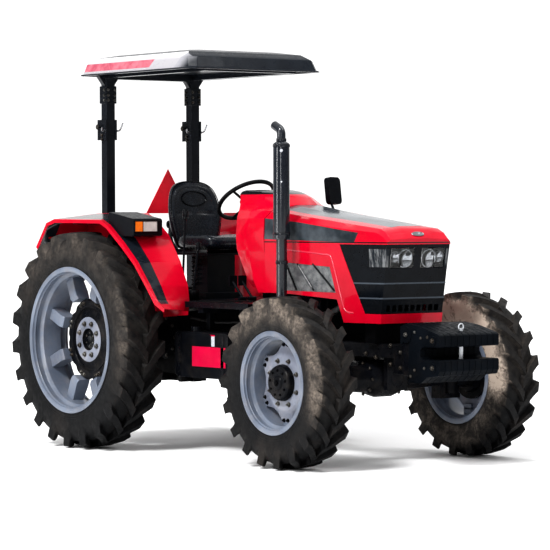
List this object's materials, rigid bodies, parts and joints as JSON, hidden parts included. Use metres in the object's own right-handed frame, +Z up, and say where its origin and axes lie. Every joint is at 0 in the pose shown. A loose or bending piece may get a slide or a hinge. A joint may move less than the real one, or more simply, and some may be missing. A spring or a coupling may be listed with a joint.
{
  "type": "farm tractor",
  "caption": "Four-wheel-drive farm tractor with a red hood, lugged tyres, front weights, a folding two-post roll-over frame, a sun canopy and a rear three-point hitch.",
  "frame": {"origin": "on the ground at the middle of the tractor's overall box", "axes": "+Z up, the nose points along -Y, +X is the tractor's left"},
  "size_m": [2.066, 3.8999, 2.768],
  "materials": {
    "red_paint": "gloss",
    "grey_paint": "semi-gloss",
    "black_paint": "semi-gloss",
    "black_cast": "satin",
    "tyre": "matt",
    "black_plastic": "satin",
    "gloss_black": "gloss",
    "lamp": "clear",
    "grip": "matt",
    "vinyl": "satin",
    "steel": "satin",
    "canopy": "gloss",
    "louvre": "matt"
  },
  "bodies": {
    "chassis": {"battery_box": "black_plastic", "control_levers": "black_paint", "dash_cowl": "red_paint", "drawbar": "black_cast", "engine_block": "black_cast", "exhaust_stack": "black_paint", "fenders": "red_paint", "front_axle_beam": "black_cast", "front_driveshaft": "black_paint", "front_support": "black_cast", "front_weights": "black_cast", "gearbox_housing": "black_cast", "lamp_pods": "black_plastic", "mirror": "black_plastic", "pedals": "black_paint", "platform": "black_paint", "radiator": "black_paint", "rear_axle_housing": "black_cast", "rops_lower": "black_paint", "seat_backrest": "vinyl", "seat_base": "black_paint", "seat_cushion": "vinyl", "side_tank": "black_plastic", "steering_column": "black_plastic", "steering_cylinder": "black_paint", "step": "black_paint", "tank_band": "red_paint", "warning_triangle": "red_paint", "weight_carrier": "black_cast"},
    "wheel_rear_left": {"rear_tyre_left": "tyre", "rear_rim_left": "grey_paint", "rear_centre_left": "black_cast"},
    "wheel_rear_right": {"rear_tyre_right": "tyre", "rear_rim_right": "grey_paint", "rear_centre_right": "black_cast"},
    "knuckle_left": {"knuckle_left": "black_cast"},
    "knuckle_right": {"knuckle_right": "black_cast"},
    "wheel_front_left": {"front_tyre_left": "tyre", "front_rim_left": "grey_paint", "front_hub_left": "black_cast"},
    "wheel_front_right": {"front_tyre_right": "tyre", "front_rim_right": "grey_paint", "front_hub_right": "black_cast"},
    "steering_rod": {"steering_rod": "steel"},
    "steering_wheel": {"steering_wheel": "grip"},
    "hood": {"hood_shell": "red_paint", "grille": "gloss_black", "headlamps": "lamp", "hood_louvres": "louvre"},
    "rops_upper": {"rops_upper": "black_paint", "canopy": "canopy"},
    "lift_arms": {"lift_arms": "black_cast"},
    "lift_rods": {"lift_rods": "black_paint"},
    "lower_links": {"lower_links": "black_paint"},
    "top_link": {"top_link": "black_paint"},
    "pto_shaft": {"pto_shaft": "steel"}
  },
  "joints": [
    {"name": "rear_left_wheel_spin", "type": "hinge", "parent": "chassis", "child": "wheel_rear_left", "pos_m": [0.875, 1.11, 0.755], "axis": [1, 0, 0], "continuous": true},
    {"name": "rear_right_wheel_spin", "type": "hinge", "parent": "chassis", "child": "wheel_rear_right", "pos_m": [-0.875, 1.11, 0.755], "axis": [1, 0, 0], "continuous": true},
    {"name": "left_steer", "type": "hinge", "parent": "chassis", "child": "knuckle_left", "pos_m": [0.598, -1.07, 0.553], "axis": [0, 0, 1], "range_deg": [-38, 38]},
    {"name": "right_steer", "type": "hinge", "parent": "chassis", "child": "knuckle_right", "pos_m": [-0.598, -1.07, 0.553], "axis": [0, 0, 1], "range_deg": [-38, 38]},
    {"name": "front_left_wheel_spin", "type": "hinge", "parent": "knuckle_left", "child": "wheel_front_left", "pos_m": [0.77, -1.07, 0.553], "axis": [1, 0, 0], "continuous": true},
    {"name": "front_right_wheel_spin", "type": "hinge", "parent": "knuckle_right", "child": "wheel_front_right", "pos_m": [-0.77, -1.07, 0.553], "axis": [1, 0, 0], "continuous": true},
    {"name": "steering_rod_slide", "type": "slide", "parent": "chassis", "child": "steering_rod", "axis": [1, 0, 0], "range_m": [-0.132, 0.132]},
    {"name": "steering_wheel_turn", "type": "hinge", "parent": "chassis", "child": "steering_wheel", "pos_m": [0, 0.41, 1.727], "axis": [0, 0.6157, 0.788], "range_deg": [-570, 570]},
    {"name": "hood_open", "type": "hinge", "parent": "chassis", "child": "hood", "pos_m": [0, -0.37, 1.66], "axis": [-1, 0, 0], "range_deg": [0, 50]},
    {"name": "rops_fold", "type": "hinge", "parent": "chassis", "child": "rops_upper", "pos_m": [0, 1.617, 2.26], "axis": [-1, 0, 0], "range_deg": [0, 110]},
    {"name": "lift_arms_raise", "type": "hinge", "parent": "chassis", "child": "lift_arms", "pos_m": [0, 1.26, 1.04], "axis": [1, 0, 0], "range_deg": [0, 45]},
    {"name": "lower_links_raise", "type": "hinge", "parent": "chassis", "child": "lower_links", "pos_m": [0, 1.22, 0.6], "axis": [1, 0, 0], "range_deg": [0, 36]},
    {"name": "lift_rods_swing", "type": "hinge", "parent": "lift_arms", "child": "lift_rods", "pos_m": [0, 1.53575, 0.99138], "axis": [1, 0, 0], "range_deg": [-46.35, 0]},
    {"name": "top_link_swing", "type": "hinge", "parent": "chassis", "child": "top_link", "pos_m": [0, 1.41, 1], "axis": [-1, 0, 0], "range_deg": [0, 110]},
    {"name": "pto_spin", "type": "hinge", "parent": "chassis", "child": "pto_shaft", "pos_m": [0, 1.32, 0.69], "axis": [0, 1, 0], "continuous": true}
  ],
  "couplings": [
    {"joint": "right_steer", "follows": "left_steer", "ratio": 1},
    {"joint": "steering_rod_slide", "follows": "left_steer", "m_per_rad": -0.1968},
    {"joint": "steering_wheel_turn", "follows": "left_steer", "ratio": 15},
    {"joint": "lower_links_raise", "follows": "lift_arms_raise", "ratio": 0.8},
    {"joint": "lift_rods_swing", "follows": "lift_arms_raise", "ratio": -1.03}
  ]
}
